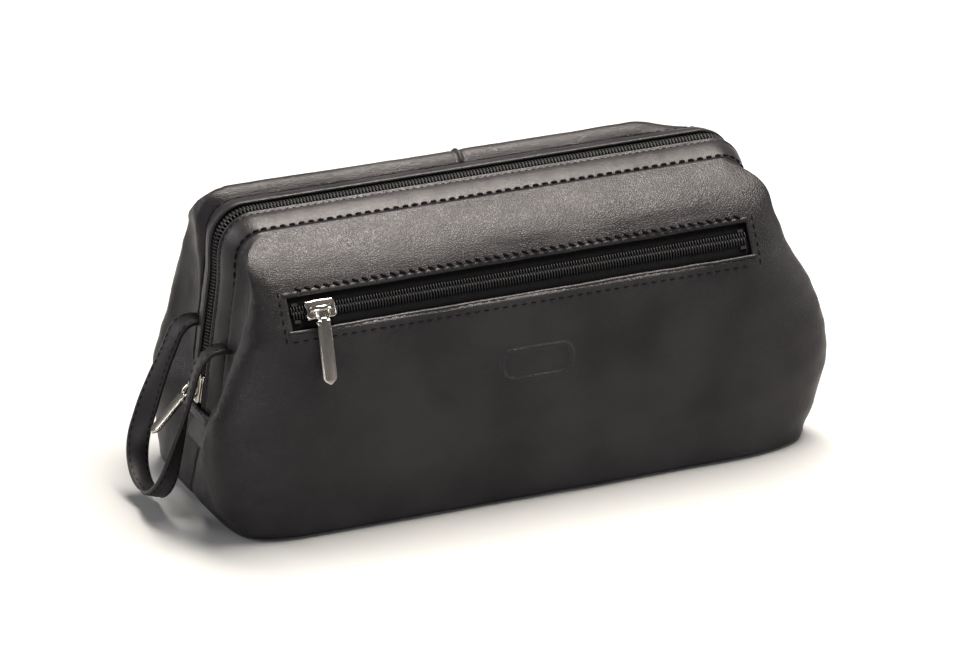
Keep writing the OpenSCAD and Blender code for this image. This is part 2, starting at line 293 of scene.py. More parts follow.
def woven(name, dark, light, pitch_mm=0.45, depth=0.10, sheen=0.15, slant=0.0, gloss=0.3):
    """Plain cloth: crossing threads at pitch_mm, turned by slant so that no side is missed."""
    k = Nodes(name)
    turned = k.add("ShaderNodeMapping", Vector=k.coords, Rotation=(0, slant, slant)).outputs[0]
    x, y, z = [k.add("ShaderNodeTexWave", dict(bands_direction=axis), Vector=turned,
                     Scale=math.pi * 2 / (20 * pitch_mm * MM), Distortion=0.6,
                     Detail=1.0).outputs["Fac"] for axis in ("X", "Y", "Z")]
    over = k.combine("MAXIMUM", x, z)
    under = k.combine("MULTIPLY", over, y)
    normal = k.bump(over, depth, 0.7)
    normal = k.bump(k.noise(0.2, 3.0), 0.03, 0.6, normal)
    k.set(Base_Color=k.tint(k.spread(under, 0, 1), dark, light),
          Roughness=k.patchy(k.noise(3.0), 0.72, 0.88),
          Normal=normal, Sheen_Weight=sheen, Sheen_Roughness=0.5, Specular_IOR_Level=gloss)
    return k.m


def metal(name, colour, rough=(0.12, 0.24), scratch=0.015):
    """Plated metal with fine lengthwise scratches."""
    k = Nodes(name)
    lines = k.noise(0.5, 4.0, (1, 1, 12))
    dull = tuple(0.85 * c for c in colour)
    k.set(Base_Color=k.tint(k.patchy(k.noise(2.5), 0, 1), dull, colour),
          Metallic=1.0, Roughness=k.patchy(lines, *rough),
          Normal=k.bump(lines, scratch, 0.5))
    return k.m


def nylon(name, colour, rough):
    k = Nodes(name)
    dull = tuple(0.7 * c for c in colour)
    k.set(Base_Color=k.tint(k.patchy(k.noise(1.5), 0, 1), dull, colour),
          Roughness=k.patchy(k.noise(0.6), *rough),
          Normal=k.bump(k.noise(0.15, 2.0), 0.02, 0.5), Specular_IOR_Level=0.22)
    return k.m


def thread(name, colour):
    """Twisted sewing thread."""
    k = Nodes(name)
    twist = k.add("ShaderNodeTexWave", dict(bands_direction="DIAGONAL"), Vector=k.coords,
                  Scale=1 / (2.4 * MM), Distortion=1.5).outputs["Fac"]
    k.set(Base_Color=k.tint(twist, tuple(0.5 * c for c in colour), colour),
          Roughness=k.spread(twist, 0.7, 0.9), Normal=k.bump(twist, 0.06, 0.8),
          Specular_IOR_Level=0.08)
    return k.m


def board(name):
    k = Nodes(name)
    fibres = k.noise(1.2, 5.0, (1, 4, 1))
    shade = k.patchy(fibres, 0, 1)
    k.set(Base_Color=k.tint(shade, (0.26, 0.2, 0.13), (0.4, 0.33, 0.23)),
          Roughness=k.spread(fibres, 0.8, 0.95), Normal=k.bump(fibres, 0.08, 0.6))
    return k.m


LEATHER = leather("panel_leather")
BAND_LEATHER = leather("band_leather", rough=(0.31, 0.41), grain_mm=0.8, grain=0.07)
STRAP_LEATHER = leather("strap_leather", rough=(0.34, 0.44), grain_mm=0.7, grain=0.07)
LINING = woven("lining_cloth", (0.016, 0.016, 0.018), (0.05, 0.05, 0.056))
TAPE = woven("zip_tape_cloth", (0.0015, 0.0014, 0.0018), (0.005, 0.0046, 0.0056),
             pitch_mm=0.4, depth=0.08, sheen=0.0, slant=0.7, gloss=0.08)
TEETH = nylon("zip_teeth_nylon", (0.012, 0.0115, 0.012), (0.42, 0.55))
NICKEL = metal("dark_nickel", (0.56, 0.52, 0.47))
STEEL = metal("zinc_steel", (0.62, 0.63, 0.65), (0.25, 0.4), 0.03)
THREAD = thread("black_thread", (0.0022, 0.002, 0.0024))
BOARD = board("fibreboard")


# ---- the arch that both frames, the zip and the seams follow ----


def arch_x(n, z):
    """Half width of the arch at height z, n inside its outer line."""
    r = CORNER_R - n
    turn = ARCH_Z + r * math.sin(LEG_LEAN)
    if z > turn:
        return TOP_HALF + math.sqrt(max(r * r - (z - ARCH_Z) ** 2, 0.0))
    return TOP_HALF + r * math.cos(LEG_LEAN) + math.tan(LEG_LEAN) * (turn - z)


def arch_path(n, foot_z, step):
    """Even steps along the arch at depth n, left foot to right foot: places and outward sides."""
    r = CORNER_R - n
    pts, normals = [], []
    turn_z = ARCH_Z + r * math.sin(LEG_LEAN)
    for z in np.linspace(foot_z, turn_z, 60)[:-1]:
        pts.append((-arch_x(n, z), z))
        normals.append(math.pi - LEG_LEAN)
    for a in np.linspace(math.pi - LEG_LEAN, math.pi / 2, 40):
        pts.append((-TOP_HALF + r * math.cos(a), ARCH_Z + r * math.sin(a)))
        normals.append(a)
    pts, normals = np.array(pts), np.array(normals)
    pts = np.vstack([pts, (pts * (-1, 1))[::-1]])
    normals = np.concatenate([normals, (math.pi - normals)[::-1]])
    run = run_along(pts)
    count = max(int(round(run[-1] / step)), 2) + 1
    at = np.linspace(0, run[-1], count)
    x, z = np.interp(at, run, pts[:, 0]), np.interp(at, run, pts[:, 1])
    a = np.interp(at, run, normals)
    places = np.stack([x, np.zeros(count), z], 1)
    sides = np.stack([np.cos(a), np.zeros(count), np.sin(a)], 1)
    return places, sides


# ---- the leather shell ----

SLOPE = math.radians(31.5)
SLOPE_OUT = np.array([0, -math.cos(SLOPE), math.sin(SLOPE)])
SLOPE_UP = np.array([0, math.sin(SLOPE), math.cos(SLOPE)])
COIL_LOW, COIL_HIGH = box_mm("pocket_coil")
POCKET = np.array([0, *((COIL_LOW + COIL_HIGH) / 2)[1:]]) + 0.55 * SLOPE_OUT
POCKET_X = 98.5  # half width of the pocket window
POCKET_V = 7.5  # half of its height, up the slope
POCKET_TALL = POCKET_V * math.cos(SLOPE)
MARK = np.array([3.0, 60.0])  # middle (x, z) of the blank mark
MARK_HALF = np.array([15.0, 6.0])
FLAT_X = 99.5  # half of the level middle of a row
COUNT_END = 22  # spans from the seam to the ridge at each end
COUNT_TURN = 14  # spans from the ridge round to the level middle


def flat_columns():
    """Places along the level middle: close together at the mark and the window's ends."""
    coarse = np.arange(-96.0, 96.1, 2.0)
    fine = np.arange(MARK[0] - MARK_HALF[0] - 2, MARK[0] + MARK_HALF[0] + 2.01, 0.5)
    keep = coarse[(coarse < fine[0] - 0.6) | (coarse > fine[-1] + 0.6)]
    ends = [-FLAT_X, -POCKET_X, -97.4, 97.4, POCKET_X, FLAT_X]
    return np.sort(np.concatenate([ends, keep, fine]))


FLAT = flat_columns()


class Half:
    """One leather panel: side -1 is the front, +1 the rear.

    Its curves give, at height z, the depth of the level middle (deep), the half length at the
    ridge of each end, the ridge's y, and the half length in the hollow at the low end (valley).
    """

    def __init__(self, side):
        self.side = side
        self.valley = curve((EDGE_Z, 125.0), (20, 121.5), (38, 117.6), (45, 116.4), (56, 114.9))
        self.ridge_y = curve((EDGE_Z, 39), (38, 39), (61, 40.5), (72, 40), (87, 38), (102, 34.8),
                             (107, 32.0), (111, 29.0), (115.2, 22.5), (SEAM_TOP, SEAM_Y))
        if side < 0:
            deep = [(EDGE_Z, 53.2), (20, 54.4), (38, 54.3), (60, 53.0), (75, 51.6), (86, 49.9),
                    (94, 45.4), (102, 40.4), (106, 37.0), (111.4, 30.5), (115.5, 23.0)]
            left = [(EDGE_Z, 122.8), (14, 128.4), (24, 131.4), (38, 132.6), (50, 131.0),
                    (61, 127.2), (72, 122.0), (87, 114.6), (102, 110.6), (112, 109.4),
                    (115.0, 106.2)]
            right = [(EDGE_Z, 129.0), (33, 138.6), (45, 136.6), (69, 128.0), (87, 118.6),
                     (99, 113.8), (112, 110.4), (115.0, 106.4)]
        else:
            deep = [(EDGE_Z, 53.0), (20, 54.4), (38, 54.8), (60, 53.4), (78, 50.4), (92, 45.8),
                    (103, 39.0), (111.4, 30.5), (115.5, 23.0)]
            left = [(EDGE_Z, 125.0), (24, 127.4), (38, 127.6), (52, 123.2), (61, 119.4),
                    (72, 116.2), (87, 113.4), (102, 110.8), (112, 109.4), (115.0, 106.2)]
            right = [(EDGE_Z, 127.6), (33, 134.0), (45, 132.4), (69, 123.6), (87, 116.4),
                     (99, 112.8), (112, 109.8), (115.0, 106.2)]
        self.deep = curve(*deep, (SEAM_TOP, SEAM_Y))
        self.ridge_left = curve(*left, (SEAM_TOP, TOP_HALF))
        self.ridge_right = curve(*right, (SEAM_TOP, TOP_HALF))
        self.centre = [(float(self.deep(z)), float(z)) for z in self.heights()]

    def heights(self):
        """Row heights from the seam down, close together where the panel is nearly level."""
        levels = [SEAM_TOP, 117.7, 117.3, 116.7, 116.0, 115.2, 114.3, 113.3, 112.3, 111.3, 110.2,
                  109, 107.8, 106.6, 105.4, 104.2, 103, 101.6]
        high, low = POCKET[2] + POCKET_TALL, POCKET[2] - POCKET_TALL
        levels += list(np.linspace(high, low, 9)) + list(np.arange(low - 1.4, 68, -1.8))
        levels += list(np.arange(67.5, 52.4, -0.5)) + list(np.arange(51, 6, -2.0)) + [EDGE_Z]
        return levels

    def flat_share(self, z):
        """The level middle of a row is a little shorter towards the seam's round corners."""
        return 1 - 0.045 * smooth(106, SEAM_TOP, z)

    def half_row(self, depth, z, right):
        """Seam point, run to the ridge and turn on to the flat, for one end of one row."""
        ridge = self.ridge_right if right else self.ridge_left
        flat_x = FLAT_X * self.flat_share(z)
        hx, hy = float(ridge(z)), min(float(self.ridge_y(z)), depth)
        low = 1 - smooth(40, 56, z)
        y0 = SEAM_Y * (1 - low)
        x0 = (1 - low) * arch_x(SEAM_N, z) + low * float(self.valley(z))
        t = np.linspace(0, 1, COUNT_END + 1)
        g = low * t * t * (3 - 2 * t) + (1 - low) * t ** 1.7
        dip = 3.2 * (0.45 if self.side > 0 else 1.0)
        dip = dip * smooth(50, 66, z) * (1 - smooth(104, 115, z))
        x = x0 + (hx - x0) * g - dip * np.sin(math.pi * t) ** 1.2
        y = y0 + (hy - y0) * t
        x = x - 0.9 * low * np.exp(-((y / 1.2) ** 2))
        end = np.stack([x, y, np.full(len(t), z)], 1)
        a = np.linspace(0, math.pi / 2, COUNT_TURN + 1)[1:]
        turn = np.stack([flat_x + (hx - flat_x) * np.cos(a) ** 1.1,
                         hy + (depth - hy) * np.sin(a) ** 0.9, np.full(len(a), z)], 1)
        return np.vstack([end, turn[:-1]])

    def row(self, depth, z):
        """All points of the panel at height z, from the left seam round to the right seam."""
        left = self.half_row(depth, z, False) * (-1, 1, 1)
        right = self.half_row(depth, z, True)[::-1]
        crown = 1.4 * smooth(112, 90, z)
        flat = np.stack([FLAT * self.flat_share(z),
                         depth + crown * 0.35 - crown * (FLAT / FLAT_X) ** 2 * 0.35,
                         np.full(len(FLAT), z)], 1)
        pts = np.vstack([left, flat, right])
        rounds = int(1 + 26 * (1 - smooth(22, 58, z)))
        n = len(left)
        for _ in range(rounds):
            for a, b in ((1, n + 2), (len(pts) - n - 2, len(pts) - 1)):
                pts[a:b, :2] = (pts[a - 1:b - 1, :2] + 2 * pts[a:b, :2] + pts[a + 1:b + 1, :2]) / 4
        pts[:, 1] *= self.side
        return pts

    def surface(self):
        """Grid of the panel's points, its ends softened from row to row."""
        g = np.array([self.row(depth, z) for depth, z in self.centre])
        ends = np.abs(g[:, :, 0]) > FLAT_X + 1.5
        for _ in range(3):
            s = g.copy()
            s[1:-1] = (g[:-2] + 2 * g[1:-1] + g[2:]) / 4
            inner = ends.copy()
            inner[:, 0] = inner[:, -1] = False
            g = np.where(inner[..., None], s, g)
        return self.rolled(g) if self.side > 0 else g

    def rolled(self, g):
        """The rear leather stands up in a soft roll beside its seam, highest along the top."""
        top = curve((SEAM_Y, 0), (18, 1.9), (20, 4.5), (22.5, 6.1), (26, 6.5), (30, 5.4),
                    (35, 3.5), (40, 1.5), (46, 0))
        end = curve((SEAM_Y, 0), (18, 2.2), (20, 4.2), (23, 4.6), (28, 2.8), (34, 0.9), (40, 0))
        x, y, z = g[..., 0], g[..., 1], g[..., 2]
        angle = np.arctan2(np.maximum(z - ARCH_Z, 0), np.maximum(np.abs(x) - TOP_HALF, 0.01))
        angle = np.clip(angle, LEG_LEAN, math.pi / 2)
        up = smooth(0.5, 1.3, angle)
        fade = smooth(80, 110, z)
        drop = 1 - 0.85 * smooth(76, 102, x) * smooth(96, 112, z)
        lift = (up * top(y) + (1 - up) * end(y)) * fade * drop
        g = g.copy()
        g[..., 0] += np.sign(x) * np.cos(angle) * lift
        g[..., 2] += np.sin(angle) * lift
        return g


def normals_of(g, side):
    """Unit normals of one half's grid of points, pointing out of the bag."""
    return unit(np.cross(np.gradient(g, axis=1), np.gradient(g, axis=0))) * side


def fbm(x, y, z, size, octaves=3, seed=0.0):
    """Layered noise with features of this size in mm, the same at each run."""
    total, amount = 0.0, 1.0
    for k in range(octaves):
        f = 2 ** k / size
        total += amount * noise.noise(Vector((x * f + seed, y * f - seed, z * f + 2 * seed)))
        amount *= 0.5
    return total


def under_base(g, rows=6, radius=3.6, reach=9.0):
    """More rows that turn the panel's lower edge in beneath the bag."""
    last = g[-1]
    tangent = np.gradient(last[:, :2], axis=0)
    out = np.stack([tangent[:, 1], -tangent[:, 0]], 1)
    out = unit(out)
    out = out * np.sign((out * last[:, :2]).sum())
    extra = []
    for k in range(1, rows + 1):
        b = math.pi / 2 * k / rows
        p = last.copy()
        p[:, :2] -= out * radius * (1 - math.cos(b))
        p[:, 2] = EDGE_Z - (EDGE_Z - FLOOR_GAP) * math.sin(b) ** 0.8
        p[[0, -1], 1] = last[[0, -1], 1]
        extra.append(p)
    p = extra[-1].copy()
    p[:, :2] -= out * reach
    p[[0, -1], 1] = last[[0, -1], 1]
    extra.append(p)
    return np.concatenate([g, np.array(extra)])


def stadium(px, pz, half, round_r):
    """Signed distance in the panel to the outline of a long rounded mark."""
    qx = np.abs(px) - (half[0] - round_r)
    qz = np.abs(pz) - (half[1] - round_r)
    outside = np.hypot(np.maximum(qx, 0), np.maximum(qz, 0))
    return outside + np.minimum(np.maximum(qx, qz), 0) - round_r


def relief(g, side):
    """Inward offset of each point: sag and wrinkles, less where a seam or mark stands proud."""
    h = np.zeros(g.shape[:2])
    for i, j in np.ndindex(h.shape):
        x, y, z = g[i, j]
        near_seam = min(1.0, (SEAM_TOP - z) / 9) if abs(x) < FLAT_X else 1.0
        h[i, j] += 0.75 * near_seam * fbm(x, y, z, 46, 2, 3.1 * side)
        h[i, j] += 0.16 * fbm(x * 0.55, y, z * 1.5, 7.5, 3, 9.7)
        creased = math.exp(-(((x + 78) / 40) ** 2) - (((z - 26) / 20) ** 2))
        h[i, j] += 0.42 * creased * fbm(x * 0.3, y, z * 1.2, 6.0, 2, 5.5)
        at_end = smooth(96, 118, abs(x)) * (1 - smooth(98, 110, z))
        h[i, j] += 0.7 * at_end * fbm(x * 0.4, y, z * 0.9, 13.0, 2, 1.2)
    x, y, z = g[..., 0], g[..., 1], g[..., 2]
    if side < 0:
        window = (np.abs(x) < POCKET_X + 6) & (np.abs(z - POCKET[2]) < POCKET_V + 5)
        h[window] *= 0.35
        outline = np.abs(stadium(x - MARK[0], z - MARK[1], MARK_HALF, 5.0))
        h -= 0.85 * (y < -40) * np.exp(-((outline / 0.7) ** 2))
    else:
        h -= 0.8 * np.exp(-((x / 0.7) ** 2)) - 0.25 * np.exp(-(((np.abs(x) - 1.8) / 1.0) ** 2))
    h *= np.clip(z / 6.0, 0, 1)
    h[:, 0] = h[:, -1] = 0
    h[0] = 0
    return h


def shell(half):
    """Outer surface of one leather panel and its outward normals."""
    g = under_base(half.surface())
    n = normals_of(g, half.side)
    g = g - n * relief(g, half.side)[..., None]
    g[..., 2] = np.maximum(g[..., 2], FLOOR_GAP)
    return g, n


FRONT, REAR = Half(-1), Half(1)
front_grid, front_normals = shell(FRONT)
rear_grid, rear_normals = shell(REAR)


def slab(name, g, n, thickness, material, skip=None):
    """A sheet with thickness: the grid g, and the same grid set inward along its normals."""
    rows, cols = g.shape[:2]
    faces = grid_faces(rows, cols, skip=skip)
    a, b, c = (g.reshape(-1, 3)[i] for i in faces[len(faces) // 2][:3])
    middle = n.reshape(-1, 3)[faces[len(faces) // 2][0]]
    if np.dot(np.cross(b - a, c - b), middle) < 0:
        faces = [f[::-1] for f in faces]
    count = rows * cols
    seen = {(f[i], f[(i + 1) % 4]): True for f in faces for i in range(4)}
    rims = [(b, a, a + count, b + count) for a, b in seen if (b, a) not in seen]
    under = [tuple(i + count for i in f[::-1]) for f in faces]
    inner = g - n * thickness
    verts = np.concatenate([g.reshape(-1, 3), inner.reshape(-1, 3)])
    o = new_object(name, verts, faces + under + rims, material)
    modified(o, "WELD", merge_threshold=0.00002)
    drop_loose(o)
    return o


def drop_loose(o):
    """Drop points that belong to no face."""
    used = np.zeros(len(o.data.vertices), bool)
    for p in o.data.polygons:
        used[list(p.vertices)] = True
    if used.all():
        return
    index = np.cumsum(used) - 1
    co = [tuple(v.co) for v, u in zip(o.data.vertices, used) if u]
    faces = [tuple(int(index[i]) for i in p.vertices) for p in o.data.polygons]
    o.data = mesh_of(o.name, co, faces, list(o.data.materials))


def rides(o, body, slot, *nodes):
    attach(o, body)
    if nodes:
        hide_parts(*nodes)


def bends(o, gate, slot, *nodes, at=FOLD):
    """The piece's placing is baked into its points, and the CAD nodes it stands for are hidden."""
    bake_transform(o)
    if nodes:
        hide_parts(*nodes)


def bars(name, places, along, side, out, length, wide, tall, material, sink=0.0, ring=6):
    """Rounded bars, one per place: length along, wide across, tall outward, ends sunk."""
    stations = [(-0.5, 0.35), (-0.42, 0.8), (0.0, 1.0), (0.42, 0.8), (0.5, 0.35)]
    count = len(stations)
    one = grid_faces(count, ring, wrap=True) + [f[::-1] for f in caps(count, ring)]
    verts, faces = [], []
    for p, a, s, n in zip(places, along, side, out):
        start = len(verts)
        for u, scale in stations:
            mid = p + a * u * length - n * sink * (2 * u) ** 2
            for k in range(ring):
                w = 2 * math.pi * k / ring
                verts.append(mid + s * wide * scale * math.cos(w) + n * tall * scale * math.sin(w))
        faces += [tuple(start + i for i in f) for f in one]
    return new_object(name, verts, faces, material)


def raise_at(z):
    """How far the zip and its bands stand proud of the frames: only along the top."""
    return 1.2 * smooth(93, 107, z)


def on_arch(n, y, foot_z, step, pick=slice(None)):
    """Places along the arch at depth n and offset y, the way along it, and the outward side."""
    p, out = arch_path(n, foot_z, step)
    p = p + out * raise_at(p[:, 2:])
    along = unit(np.gradient(p, axis=0))
    return (p + (0, y, 0))[pick], along[pick], out[pick]


# ---- panels, base and linings ----


LEATHER_T = 1.3
BASE_T = 0.8
CLOTH_T = 0.4


def in_window(r, c):
    p = (front_grid[r, c] + front_grid[r + 1, c + 1]) / 2
    across = abs(p[0]) < POCKET_X - 0.3
    return p[1] < -30 and across and abs(p[2] - POCKET[2]) < POCKET_TALL


def add_panels():
    front = slab("front_leather", front_grid, front_normals, LEATHER_T, LEATHER, skip=in_window)
    rear = slab("rear_leather", rear_grid, rear_normals, LEATHER_T, LEATHER)
    for o, word in ((front, "front"), (rear, "rear")):
        bends(o, word + "_gate", "leather", word + "_lower_panel", word + "_fold_panel",
              word + "_upper_panel")


def between(front_edge, rear_edge, rows):
    """Rows of points from the front edge across to the rear edge."""
    share = np.linspace(0, 1, rows)[:, None, None]
    return front_edge * (1 - share) + rear_edge * share


def add_base():
    """Slightly dimpled leather under the board, just inside the panels' turned-in edges."""
    g = between(front_grid[-2], rear_grid[-2], 25) * (0.985, 0.985, 1)
    g[..., 2] = 1.5 - 0.12 * np.cos(g[..., 0] / 9) * np.cos(g[..., 1] / 8) - 0.9
    o = slab("base_leather", g, np.zeros_like(g) + (0, 0, -1), BASE_T, LEATHER)
    rides(o, "bag_body", "leather", "base_panel")


def lining_depth(g, side):
    """How far the lining hangs inside the leather: deeper where it passes behind the pouch."""
    x, z = g[..., 0], g[..., 2]
    deep = np.full(g.shape[:2], 2.1)
    if side < 0:
        wide = 1 - smooth(97, 103, np.abs(x))
        tall = smooth(50, 58, z) * (1 - smooth(104, 109, z))
        deep += 3.4 * wide * tall
    return deep


LINING_FLOOR = 4.4
LINING_TOP_ROW = 5


def add_lining(word, half):
    """Wavy cloth inside one leather panel; its lowest row comes back, for the floor."""
    g = half.surface()
    n = normals_of(g, half.side)
    inside = (g - n * lining_depth(g, half.side)[..., None])[LINING_TOP_ROW:]
    n = n[LINING_TOP_ROW:]
    wave = np.array([[fbm(*p, 17, 2, 4.4) for p in r] for r in inside])
    inside = inside - n * (0.35 * (1 + wave))[..., None]
    inside[..., 2] = np.maximum(inside[..., 2], LINING_FLOOR)
    inside[..., 1] = half.side * np.maximum(inside[..., 1] * half.side, 0.15)
    o = slab(word + "_lining", inside, n, CLOTH_T, LINING)
    bends(o, word + "_gate", "lining", word + "_upper_lining")
    return inside[-1]


def add_linings():
    g = between(add_lining("front", FRONT), add_lining("rear", REAR), 31)
    g[..., 2] = LINING_FLOOR + np.array([[0.25 * fbm(*p, 24, 2, 8.1) for p in r] for r in g])
    o = slab("floor_lining", g, np.zeros_like(g) + (0, 0, 1), CLOTH_T, LINING)
    rides(o, "bag_body", "lining", "lining_tub")


def add_pouch():
    """Flat cloth pouch between the front leather and its lining, open at the pocket."""
    half_x, low, high = 96.5, 57, 102.5
    g = FRONT.surface()
    n = normals_of(g, FRONT.side)
    rows = [i for i, (_, z) in enumerate(FRONT.centre) if low < z < high]
    cols = [j for j in range(g.shape[1]) if abs(g[60, j, 0]) < half_x and g[60, j, 1] < -40]
    part = np.s_[rows[0]:rows[-1] + 1, cols[0]:cols[-1] + 1]
    g, n = g[part], n[part]
    x, z = g[..., 0], g[..., 2]
    belly = np.clip(1 - (np.abs(x) / half_x) ** 12, 0, 1)
    belly = belly * smooth(low, 62, z) * (1 - smooth(100, high, z))
    back = g - n * (2.4 + 2.2 * belly)[..., None]
    face = g - n * (2.0 + 0.2 * belly)[..., None]

    def opening(r, c):
        return abs(z[r, c] - POCKET[2]) < POCKET_TALL + 1.2

    o = joined("pocket_pouch_cloth", [slab("back", back, n, 0.3, LINING),
                                      slab("face", face, n, 0.25, LINING, skip=opening)])
    bends(o, "front_gate", "lining", "pocket_pouch")


# ---- bands and main zip ----

# outlines of (distance from the zip's middle, offset out of the arch)
BAND = [(4.6, -1.4), (4.5, -0.9), (4.7, -0.45), (5.1, -0.2), (5.6, -0.22), (6.0, -0.55),
        (6.4, -1.0), (6.9, -0.85), (8.0, -0.8), (10.0, -1.15), (12.0, -1.75), (14.0, -2.5),
        (15.3, -3.15), (16.1, -3.6), (16.8, -4.15), (16.7, -5.2), (15.0, -4.6), (13.0, -3.6),
        (11.5, -2.9), (8.0, -2.3), (5.0, -2.2)]
ZIP_TAPE = [(0.15, -2.4), (2.0, -2.36), (4.4, -2.34), (8.0, -2.42), (8.0, -2.9), (0.15, -2.9)]
FACING = [(5.0, -4.7), (11, -4.66), (16.6, -5.35), (16.6, -5.65), (11, -5.0), (5.0, -5.0)]
BAND_FOOT, TAPE_FOOT, TEETH_FOOT, STITCH_FOOT, FACING_FOOT = 38.0, 41.0, 41.5, 50.0, 67.0


def arch_sweep(name, outline, side, foot_z, material, wave=0.0, proud=1.0):
    """An outline of (distance from the middle, outward offset) swept round the arch."""
    p, out = arch_path(0, foot_z, 1.2)
    rings = []
    for a, n in zip(p, out):
        s = wave * fbm(a[0], 7 * side, a[2], 9, 2)
        a = a + n * proud * raise_at(a[2])
        rings.append([a + (0, side * u, 0) + n * (v + s * smooth(5.5, 9, u)) for u, v in outline])
    return tube(name, rings, material, -side, -side)


def arch_stitches(side, n, y, pitch, length, wide):
    p, along, out = on_arch(0, side * y, STITCH_FOOT, pitch)
    return bars("row", p - out * n, along, np.cross(along, out), out, length, wide, wide * 0.9,
                THREAD, sink=0.25)


def add_zip_side(word, side):
    gate = word + "_gate"
    band = arch_sweep(word + "_band_leather", BAND, side, BAND_FOOT, BAND_LEATHER, wave=0.22)
    bends(band, gate, "leather", word + "_zip_band", at=HINGE)
    rows = [arch_stitches(side, 0.92, 6.4, 3.0, 2.1, 0.30),
            arch_stitches(side, 3.45, 16.0, 4.0, 2.7, 0.62)]
    bends(joined(word + "_band_stitches", rows), gate, "leather", at=HINGE)
    tape = arch_sweep(word + "_tape_cloth", ZIP_TAPE, side, TAPE_FOOT, TAPE)
    tail = "zip_tail_left" if side < 0 else "zip_tail_right"
    bends(tape, gate, "zip_tape", word + "_zip_tape", tail, at=HINGE)
    pick = slice(0, None, 2) if side < 0 else slice(1, None, 2)
    p, along, out = on_arch(1.35, side * 1.15, TEETH_FOOT, 0.70, pick)
    across = np.tile([0.0, 1.0, 0.0], (len(p), 1))
    teeth = bars(word + "_zip_teeth", p, across, along, out, 3.5, 0.36, 0.85, TEETH, 0.35, ring=8)
    bends(teeth, gate, "zip_teeth", word + "_zip_coil", at=HINGE)
    cloth = arch_sweep(word + "_facing_cloth", FACING, side, FACING_FOOT, LINING, proud=0.0)
    rides(cloth, gate, "lining", word + "_frame_facing")


def add_zip_ends():
    """Small leather tabs sewn over the closed ends of the zip, in the hollow of each end."""
    for word, s in (("left", -1), ("right", 1)):
        rows = []
        for z in np.linspace(22, 40.6, 20):
            row = []
            for y in np.linspace(-15, 15, 31):
                x = max(float(FRONT.valley(z)) + 0.6,
                        0.4 + arch_x(0, z) * float(smooth(26, 36, z)))
                edge = (max(abs(y) - 12, 0) * 0.25 + max(24 - z, 0) * 0.3
                        + 0.10 * fbm(y, z, s, 6, 2))
                row.append((s * (x + 0.3 - edge), y, z))
            rows.append(row)
        g = np.array(rows)
        tab = slab("tab", g, np.zeros_like(g) + (s, 0, 0), 1.1, BAND_LEATHER)
        spots = g[18, 4:28:3]
        along, side, out = (np.tile(d, (len(spots), 1))
                            for d in ((0, 1.0, 0), (0, 0, 1.0), (float(s), 0, 0)))
        row = bars("row", spots, along, side, out, 2.2, 0.35, 0.3, THREAD, 0.2)
        rides(joined("zip_end_tab_" + word, [tab, row]), "bag_body", "leather")


# ---- pocket ----


def on_slope(x, v, w):
    """Point of the pocket slope: x along the bag, v up the slope, w out of it."""
    return POCKET + (x, 0, 0) + v * SLOPE_UP + w * SLOPE_OUT


def slope_sweep(name, outline, half_x, material, pucker=0.0, slant=0.0):
    """An outline of (v, w) swept along the pocket; pucker draws it down at each stitch."""
    count = int(2 * half_x / (0.5 if pucker else 3.0)) + 1
    rings = []
    for x in np.linspace(-half_x, half_x, count):
        ring = []
        for v, w in outline:
            turn = 2 * math.pi * (x - slant * v) / POCKET_PITCH
            pull = 1 - pucker * (0.5 + 0.5 * math.cos(turn)) ** 2
            wob = 0.25 * fbm(x, v, 0, 14, 2) if pucker else 0
            ring.append(on_slope(x, v + wob, w * pull if w > 0 else w))
        rings.append(ring)
    return tube(name, rings, material, ends=-1)


def panel_point(x, v):
    """Where the front leather lies under a point of the slope, and its normal there."""
    d = (front_grid[..., 0] - x) ** 2 + (front_grid[..., 2] - on_slope(x, v, 0)[2]) ** 2
    d = d + 1e6 * (front_grid[..., 1] > -25)
    r, c = np.unravel_index(np.argsort(d, axis=None)[:4], d.shape)
    weight = 1 / (d[r, c] + 0.01)
    weight /= weight.sum()
    n = unit((front_normals[r, c] * weight[:, None]).sum(0))
    near = (front_grid[r, c] * weight[:, None]).sum(0)
    here = on_slope(x, v, 0)
    return here - n * np.dot(here - near, n), n


def pocket_stitches(spots, length, wide, lean, sink=0.3, lift=0.1, upright=False):
    """Stitches at (x, v) spots, along the pocket or upright, turned by lean."""
    places, along, side, out = [], [], [], []
    for x, v in spots:
        p, n = panel_point(x, v)
        if upright:
            a = np.array([math.sin(lean), 0, 0]) + SLOPE_UP * math.cos(lean)
        else:
            a = np.array([math.cos(lean), 0, 0]) + SLOPE_UP * math.sin(lean)
        a = unit(a - n * np.dot(a, n))
        places.append(p + n * lift)
        along.append(a)
        side.append(np.cross(n, a))
        out.append(n)
    return bars("row", places, along, side, out, length, wide, wide, THREAD, sink)


# outlines of (v up the slope, w out of it)
UPPER_LIP = [(6.6, -1.3), (6.2, -0.6), (6.3, 0.1), (6.8, 0.6), (7.5, 0.7), (8.2, 0.42),
             (9.0, 0.0), (10.0, -0.5), (9.0, -1.2)]
LOWER_LIP = [(-7.0, -1.3), (-6.7, -0.5), (-6.9, 0.35), (-7.5, 0.62), (-8.0, 0.5), (-8.35, 0.0),
             (-8.4, -0.7), (-8.0, -1.3)]
POCKET_TAPE = [(0.15, -1.45), (4.0, -1.4), (9.0, -1.45), (9.0, -1.85), (0.15, -1.85)]
POCKET_PITCH = 4.0
COIL_PITCH = 1.2
COIL_HALF = 97.2


